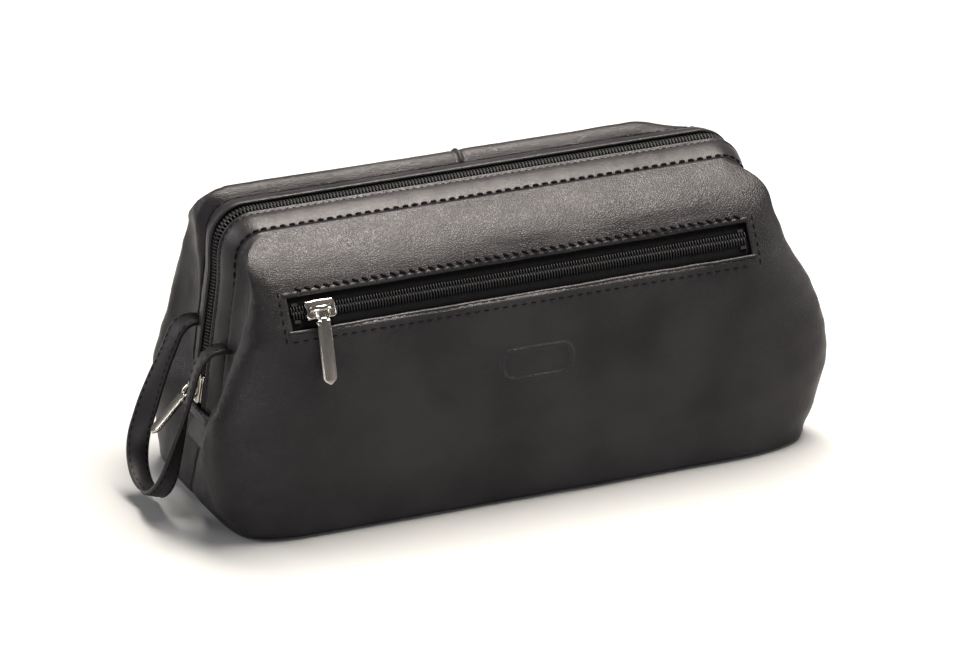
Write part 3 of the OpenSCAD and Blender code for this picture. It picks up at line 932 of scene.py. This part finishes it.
def add_pocket():
    lip_x = POCKET_X + 1.5
    for name, lip, pucker, slant in (("pocket_lip_upper", UPPER_LIP, 0.45, 0.5),
                                     ("pocket_lip_lower", LOWER_LIP, 0.12, 0.0)):
        o = slope_sweep(name, lip, lip_x, BAND_LEATHER, pucker, slant)
        bends(o, "front_gate", "leather")
    xs = np.arange(-POCKET_X + 1, POCKET_X, POCKET_PITCH)
    ends = [(s * (POCKET_X + 3.0), v) for s in (-1, 1) for v in np.arange(-10, 10, 3.6)]
    rows = [pocket_stitches([(x + 4.5, 9.0) for x in xs[:-1]], 2.9, 0.6, -0.5, 0.4, 0.25),
            pocket_stitches([(x, -11.2) for x in xs], 2.5, 0.34, 0.0),
            pocket_stitches(ends, 2.4, 0.34, 0.0, upright=True)]
    bends(joined("pocket_stitching", rows), "front_gate", "leather")
    for word, s in (("upper", 1), ("lower", -1)):
        tape = slope_sweep("pocket_tape_%s_cloth" % word, [(s * v, w) for v, w in POCKET_TAPE][::s],
                           99.4, TAPE)
        bends(tape, "front_gate", "zip_tape", "pocket_tape_" + word)
    sets = []
    for k, s in enumerate((1, -1)):
        p = [on_slope(x, s * 1.05, -0.75)
             for x in np.arange(-COIL_HALF + COIL_PITCH / 2 * k, COIL_HALF + 0.1, COIL_PITCH)]
        along, side, out = (np.tile(d, (len(p), 1)) for d in (SLOPE_UP, (1.0, 0, 0), SLOPE_OUT))
        sets.append(bars("teeth", p, along, side, out, 3.3, 0.34, 0.7, TEETH, 0.3, ring=8))
    bends(joined("pocket_zip_teeth", sets), "front_gate", "zip_teeth", "pocket_coil")


# ---- sliders, pulls and strap ----


def placed(points, origin, axes):
    """Local points (u, v, w) set out from origin along three axes."""
    return [origin + u * axes[0] + v * axes[1] + w * axes[2] for u, v, w in points]


def mirrored(side):
    """A closed outline from its points on one side, (u, v) in order."""
    return side + [(-u, v) for u, v in reversed(side)]


def plate(outline, low, high, origin, axes, bevel, steps=3):
    """A flat bevelled metal piece with this outline in (u, v), between two heights w."""
    m = len(outline)
    pts = [(u, v, low) for u, v in outline] + [(u, v, high) for u, v in outline]
    faces = [tuple(range(m))[::-1], tuple(range(m, 2 * m))]
    faces += [(i, (i + 1) % m, m + (i + 1) % m, m + i) for i in range(m)]
    area = sum(a[0] * b[1] - b[0] * a[1] for a, b in zip(outline, outline[1:] + outline[:1]))
    if area * np.dot(np.cross(axes[0], axes[1]), axes[2]) < 0:
        faces = [f[::-1] for f in faces]
    o = new_object("plate", placed(pts, origin, axes), faces, NICKEL, shade=False)
    return bevelled(o, bevel, steps, 40)


def bevelled(o, width, steps, angle):
    return modified(o, "BEVEL", width=width * MM, segments=steps, limit_method="ANGLE",
                    angle_limit=math.radians(angle))


def rounded(p, steps):
    """Catmull-Rom curve through points, with this many places in each span."""
    ends = [2 * p[0] - p[1], *p, 2 * p[-1] - p[-2]]
    fine = []
    for a, b, c, d in zip(ends, ends[1:], ends[2:], ends[3:]):
        for t in np.linspace(0, 1, steps, endpoint=False):
            fine.append(0.5 * (2 * b + (c - a) * t + (2 * a - 5 * b + 4 * c - d) * t**2
                               + (3 * b - a - 3 * c + d) * t**3))
    return np.array(fine + [p[-1]])


def wire(points, radius, ring=10):
    """Round metal wire along a flat curve through points."""
    p = np.array(points, float)
    fine = rounded(p, 5)
    go = unit(np.gradient(fine, axis=0))
    flat = unit(np.cross(p[1] - p[0], p[-2] - p[0]))
    rows = []
    for q, t in zip(fine, go):
        side = np.cross(t, flat)
        rows.append([q + radius * (side * math.cos(w) + flat * math.sin(w))
                     for w in np.linspace(0, 2 * math.pi, ring, endpoint=False)])
    return tube("wire", rows, NICKEL, sides=-1)


def face_out(o):
    """Turn every face of a closed piece outward."""
    bm = bmesh.new()
    bm.from_mesh(o.data)
    bmesh.ops.recalc_face_normals(bm, faces=bm.faces)
    bm.to_mesh(o.data)
    bm.free()


BRIDGE = [(-1, -0.35), (-1, 0.15), (-0.7, 0.4), (0.7, 0.4), (1, 0.15), (1, -0.35), (0.7, -0.5),
          (-0.7, -0.5)]


def bridge(high, origin, axes):
    """Bowed strip over the slider, which the pull hangs on, from a plate's top at height high."""
    turns = np.linspace(0, math.pi, 15)
    bow = [np.array([4.6 * math.cos(a), 0, high - 0.3 + 3.3 * math.sin(a) ** 0.8]) for a in turns]
    rows = []
    for i, q in enumerate(bow):
        t = bow[min(i + 1, 14)] - bow[max(i - 1, 0)]
        out = np.array([t[2], 0, -t[0]]) / np.linalg.norm(t)
        out = out if np.dot(out, (q[0], 0, q[2] - high + 0.5)) > 0 else -out
        wide = 1.25 - 0.3 * math.sin(turns[i])
        rows.append(placed([q + (0, y * wide, 0) + out * z for y, z in BRIDGE], origin, axes))
    return tube("bridge", rows, NICKEL)


def add_slider(word, origin, axes, half, low, deep, flip=1):
    """Zip slider: shield-shaped plate, turned-down sides and a raised bridge for the pull."""
    shield = [(-6.3, -2.8), (-5.4, -3.7), (-1.5, -3.8), (2.2, -half - 1.1), (5.2, -half - 0.8),
              (6.3, -2.2), (5.6, -0.9)]
    shield = [(flip * u, v) for u, v in shield + [(u, -v) for u, v in reversed(shield)]]
    high = low + 1.2
    parts = [plate(shield, low, high, origin, axes, 0.45)]
    for s in (-1, 1):
        a, b = sorted((s * (half + 0.35), s * (half + 0.95)))
        wall = [(-5.6, a), (5.6, a), (5.6, b), (-5.6, b)]
        parts.append(plate(wall, -deep, low + 0.2, origin, axes, 0.2, 2))
    parts.append(bridge(high, origin, axes))
    o = joined(word + "_slider", parts)
    face_out(o)
    rides(o, word + "_slider", "nickel", word + "_slider_body")


def add_pull(word, pin, across, down, length):
    """Pull: wire eye round the slider's bridge, then a bevelled bar with a pointed end."""
    axes = (np.array(across), -np.array(down), np.cross(across, down))
    eye = mirrored([(-1.1, -4.6), (-2.3, -3.2), (-2.55, -1.4), (-2.3, -0.2), (-1.2, 0.1)])
    eye.insert(5, (0, 0.1))
    bar = [(1.3, -3.7), (1.45, -4.7), (2.3, -4.5), (3.0, -4.9), (2.95, -5.9), (2.45, -6.6),
           (2.9, -8.0), (2.9, 2.6 - length), (2.2, 1.4 - length), (0.5, -length)]
    blank = bevelled(plate(mirrored(bar), -0.65, 0.85, pin, axes, 0.5, 1), 0.10, 2, 20)
    loop = wire(placed([(u, v, 0) for u, v in eye], pin, axes), 0.72)
    o = joined(word + "_pull", [loop, blank])
    face_out(o)
    rides(o, word + "_pull", "nickel", word + "_pull_tab")


def add_hardware():
    along_x, along_y = np.array([1.0, 0, 0]), np.array([0, 1.0, 0])
    pin = pin_mm("pocket_pull_swing")
    add_slider("pocket", on_slope(pin[0], 0, 0), (along_x, SLOPE_UP, SLOPE_OUT),
               half=2.7, low=0.6, deep=1.2, flip=-1)
    lean = math.radians(17)
    add_pull("pocket", pin, along_x, (0, -math.sin(lean), -math.cos(lean)), 30.4)
    pin = pin_mm("main_pull_swing")
    up = np.array([math.sin(LEG_LEAN), 0, math.cos(LEG_LEAN)])
    out = np.array([-math.cos(LEG_LEAN), 0, math.sin(LEG_LEAN)])
    add_slider("main", pin - out * 3.3, (up, along_y, out), half=3.0, low=-0.1, deep=2.0)
    lean = math.radians(44)
    add_pull("main", pin, along_y, (-math.sin(lean), 0, -math.cos(lean)), 24.0)


STRAP_HALF = 4.6
STRAP_T = 2.1
STRAP_ROOT_Y = 14.0
STRAP_RUN = 46.0
STRAP_DROOP = math.radians(70)
STRAP_DOWN = np.array([-math.cos(STRAP_DROOP), 0, -math.sin(STRAP_DROOP)])
STRAP_OUT = np.array([-math.sin(STRAP_DROOP), 0, math.cos(STRAP_DROOP)])
STRAP_RIM = [(-1, 0.0), (-0.97, 0.55), (-0.86, 0.92), (-0.72, 0.84), (-0.4, 1.0), (0, 1.05),
             (0.4, 1.0), (0.72, 0.84), (0.86, 0.92), (0.97, 0.55), (1, 0.0), (0.97, -0.6),
             (0.86, -0.9), (0, -0.92), (-0.86, -0.9), (-0.97, -0.6)]


def strap_route():
    """Middle line of the wrist strap: sewn end, bend, leg, round end, and back."""
    anchor = pin_mm("wrist_strap_swing")
    round_r = box_mm("wrist_strap")[1][1] - STRAP_T / 2 - 0.2
    bend = [(-7.0, 2.6), (-2.6, 3.2), (1.6, 2.2), (4.8, -1.2)]
    pts = [anchor + (-u, STRAP_ROOT_Y + 2.0 - 0.35 * i, w) for i, (u, w) in enumerate(bend)]
    for u in np.linspace(9, STRAP_RUN, 9):
        widen = math.sin(math.pi / 2 * u / STRAP_RUN)
        y = STRAP_ROOT_Y + (round_r + STRAP_T / 2 - STRAP_ROOT_Y) * widen - STRAP_T / 2
        pts.append(anchor + STRAP_DOWN * u + (0, y, 0))
    for a in np.radians(np.linspace(80, 0, 9)):
        pts.append(anchor + STRAP_DOWN * (STRAP_RUN + round_r * math.cos(a))
                   + (0, round_r * math.sin(a), 0))
    for i in range(4, len(pts)):
        share = (i - 4) / (len(pts) - 5)
        pts[i] = pts[i] + STRAP_OUT * 4.6 * math.cos(math.pi / 2 * share) ** 0.8
    p = np.array(pts)
    return np.vstack([p, (p * (1, -1, 1))[-2::-1]])


def strap_frames(step):
    """Even places along the strap, its run, its width direction and its outer side."""
    fine = rounded(strap_route(), 11)
    run = run_along(fine)
    at = np.linspace(0, run[-1], int(run[-1] / step) + 1)
    p = np.stack([np.interp(at, run, fine[:, k]) for k in range(3)], 1)
    go = unit(np.gradient(p, axis=0))
    splay = np.array([STRAP_DOWN[2], 0, -STRAP_DOWN[0]])
    wide = []
    for q, t, r in zip(p, go, np.linspace(-1, 1, len(p))):
        turn = math.radians(78) * (1 - smooth(0.25, 1.0, 1 - abs(r)) ** 0.8)
        w = math.cos(turn) * splay + math.sin(turn) * np.sign(q[1]) * np.array([0, 1.0, 0])
        wide.append(unit(w - t * np.dot(w, t)))
    wide = np.array(wide)
    return p, go, wide, np.cross(go, wide)


def add_strap():
    p, _, wide, out = strap_frames(0.8)
    rows = []
    for q, w, n in zip(p, wide, out):
        wob = 1 + 0.03 * fbm(*q, 12, 2)
        rows.append([q + w * u * STRAP_HALF * wob + n * v * STRAP_T / 2 for u, v in STRAP_RIM])
    strap = tube("wrist_strap_leather", rows, STRAP_LEATHER)
    face_out(strap)
    p, go, wide, out = (a[2:-2] for a in strap_frames(3.2))
    rows = []
    for s in (-1, 1):
        for face in (1, -1):
            q = p + wide * s * 0.74 * STRAP_HALF + out * face * (0.86 * STRAP_T / 2 + 0.05)
            rows.append(bars("row", q, go, wide, out * face, 2.1, 0.27, 0.25, THREAD, 0.15))
    stitches = joined("wrist_strap_stitches", rows)
    for piece in (strap, stitches):
        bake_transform(piece)
    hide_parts("wrist_strap")


# ---- camera, floor and light ----

CAMERA_TURN = math.radians(22.57)
CAMERA_RISE = math.radians(24.07)
CAMERA_FAR = 2.5
FLOOR_HALF = 6.0
ROOM_LIGHT = 0.14
WHITE_BACK = 1.0


def add_camera():
    """Long lens from the front left, a little above, as the bag is usually shown."""
    data = bpy.data.cameras.new("camera")
    cam = linked("camera", data)
    a, e = CAMERA_TURN, CAMERA_RISE
    back = Vector((-math.sin(a) * math.cos(e), -math.cos(a) * math.cos(e), math.sin(e)))
    cam.location = Vector((-0.55, -2.92, 53.2)) * MM + back * CAMERA_FAR
    cam.rotation_euler = (-back).to_track_quat("-Z", "Y").to_euler()
    data.lens = 232.6
    data.sensor_width = 36
    bpy.context.scene.camera = cam


def add_light(name, place, aim_z, wide, tall, power, colour):
    data = bpy.data.lights.new(name, "AREA")
    data.energy = power
    data.color = colour
    data.shape = "RECTANGLE"
    data.size = wide
    data.size_y = tall
    o = linked(name, data)
    o.location = place
    aim = Vector((0, 0, aim_z)) - Vector(place)
    o.rotation_euler = aim.to_track_quat("-Z", "Y").to_euler()


def add_studio():
    """Pale floor, a background that is white to the camera only, and four soft lights."""
    h = FLOOR_HALF
    k = Nodes("studio_floor")
    k.set(Base_Color=(0.32, 0.32, 0.32, 1), Roughness=0.75, Specular_IOR_Level=0.15)
    corners = [(-h, -h, 0), (h, -h, 0), (h, h, 0), (-h, h, 0)]
    linked("floor", mesh_of("floor", corners, [(0, 1, 2, 3)], [k.m], shade=False))
    world = bpy.data.worlds.new("studio")
    bpy.context.scene.world = world
    world.use_nodes = True
    tree = world.node_tree
    back = tree.nodes["Background"]
    path = tree.nodes.new("ShaderNodeLightPath")
    mix = tree.nodes.new("ShaderNodeMix")
    mix.data_type = "FLOAT"
    tree.links.new(path.outputs["Is Camera Ray"], mix.inputs["Factor"])
    mix.inputs["A"].default_value = ROOM_LIGHT
    mix.inputs["B"].default_value = WHITE_BACK
    tree.links.new(mix.outputs["Result"], back.inputs["Strength"])
    back.inputs["Color"].default_value = (1, 1, 1, 1)
    add_light("overhead", (0.35, 0.17, 1.5), 0.05, 1.2, 0.55, 106, (1, 0.945, 0.87))
    add_light("left_back", (-1.4, 0.9, 0.9), 0.05, 0.8, 0.8, 20, (1, 1, 1))
    add_light("front_left", (-0.75, -1.5, 0.12), 0.03, 1.2, 0.25, 12, (1, 0.985, 1))
    add_light("right", (1.6, -0.75, 0.45), 0.04, 0.7, 0.5, 9, (1, 0.985, 1))
    bpy.context.scene.view_settings.view_transform = "Standard"


def finish_nodes():
    """Materials for the CAD nodes that stay as they are."""
    for material, *nodes in ((STEEL, "front_frame", "rear_frame", "hinge_rivet_left",
                              "hinge_rivet_right"),
                             (BOARD, "bottom_board"), (TEETH, "pocket_stops")):
        for node in nodes:
            slots = frame["nodes"][node].data.materials
            slots.clear()
            slots.append(material)


add_camera()
add_panels()
add_base()
add_linings()
add_pouch()
for half_word, half_side in (("front", -1), ("rear", 1)):
    add_zip_side(half_word, half_side)
add_zip_ends()
add_pocket()
add_hardware()
add_strap()
add_studio()
finish_nodes()
